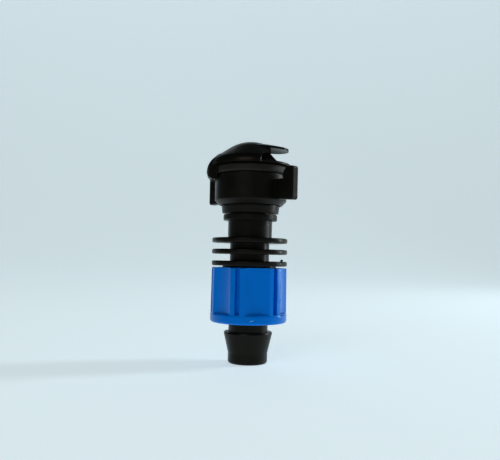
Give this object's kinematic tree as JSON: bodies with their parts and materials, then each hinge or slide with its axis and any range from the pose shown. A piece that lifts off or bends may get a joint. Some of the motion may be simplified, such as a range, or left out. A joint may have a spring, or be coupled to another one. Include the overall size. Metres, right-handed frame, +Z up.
{
  "type": "union fitting",
  "caption": "Irrigation union fitting: hooded swivel head with wing nut and hose gasket, finned barbed spigot with tape lock nut.",
  "frame": {"origin": "on the fitting's axis, at the open end of the barb", "axes": "+Z up the water path from the barb to the hood, -X to the hood's heel, +X to its beak"},
  "size_m": [0.0318, 0.0316, 0.0792],
  "materials": {
    "black_plastic": "moulded satin polypropylene",
    "blue_plastic": "moulded satin-gloss polypropylene",
    "gasket_rubber": "moulded black rubber",
    "clip_plastic": "natural acetal"
  },
  "bodies": {
    "spigot": {"spigot_body": "black_plastic", "swivel_o_ring": "gasket_rubber"},
    "head": {"hooded_head": "black_plastic", "swivel_snap_ring": "clip_plastic"},
    "gasket": {"hose_gasket": "gasket_rubber"},
    "wing_nut": {"wing_nut": "black_plastic"},
    "grip_ring": {"tape_grip_ring": "clip_plastic"},
    "lock_nut": {"tape_lock_nut": "blue_plastic"}
  },
  "joints": [
    {"name": "head_swivel", "type": "hinge", "parent": "spigot", "child": "head", "pos_m": [0, 0, 0.0533], "axis": [0, 0, 1], "continuous": true},
    {"name": "gasket_slide", "type": "slide", "parent": "head", "child": "gasket", "axis": [0, 0, 1], "range_m": [-0.00481, 0]},
    {"name": "wing_nut_turn", "type": "hinge", "parent": "gasket", "child": "wing_nut", "pos_m": [0, 0, 0.062], "axis": [0, 0, 1], "range_deg": [-432, 0]},
    {"name": "grip_ring_slide", "type": "slide", "parent": "spigot", "child": "grip_ring", "axis": [0, 0, 1], "range_m": [-0.00361, 0]},
    {"name": "lock_nut_turn", "type": "hinge", "parent": "grip_ring", "child": "lock_nut", "pos_m": [0, 0, 0.025], "axis": [0, 0, 1], "range_deg": [-324, 0]}
  ],
  "couplings": [
    {"joint": "gasket_slide", "follows": "wing_nut_turn", "m_per_rad": 0.00063662},
    {"joint": "grip_ring_slide", "follows": "lock_nut_turn", "m_per_rad": 0.00063662}
  ]
}
